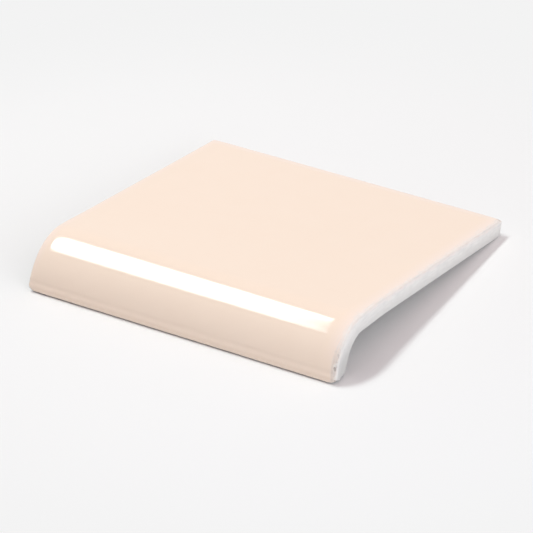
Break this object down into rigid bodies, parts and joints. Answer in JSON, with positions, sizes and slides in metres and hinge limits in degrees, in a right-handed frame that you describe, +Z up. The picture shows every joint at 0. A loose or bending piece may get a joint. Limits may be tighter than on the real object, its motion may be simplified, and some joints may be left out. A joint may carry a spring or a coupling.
{
  "type": "bullnose tile",
  "caption": "Square glazed ceramic wall tile whose front edge rolls over in a quarter round to a short lip, to cap the edge of a wall, sill or worktop.",
  "frame": {"origin": "on the floor, under the middle of the tile's box, as the tile rests on its lip and its back edge", "axes": "+X along the lip to the right end, +Y from the lip to the back edge, +Z up"},
  "size_m": [0.152, 0.1536, 0.0225],
  "materials": {
    "glazed_tile": "gloss"
  },
  "bodies": {
    "root": {"bullnose_tile": "glazed_tile"}
  },
  "joints": []
}
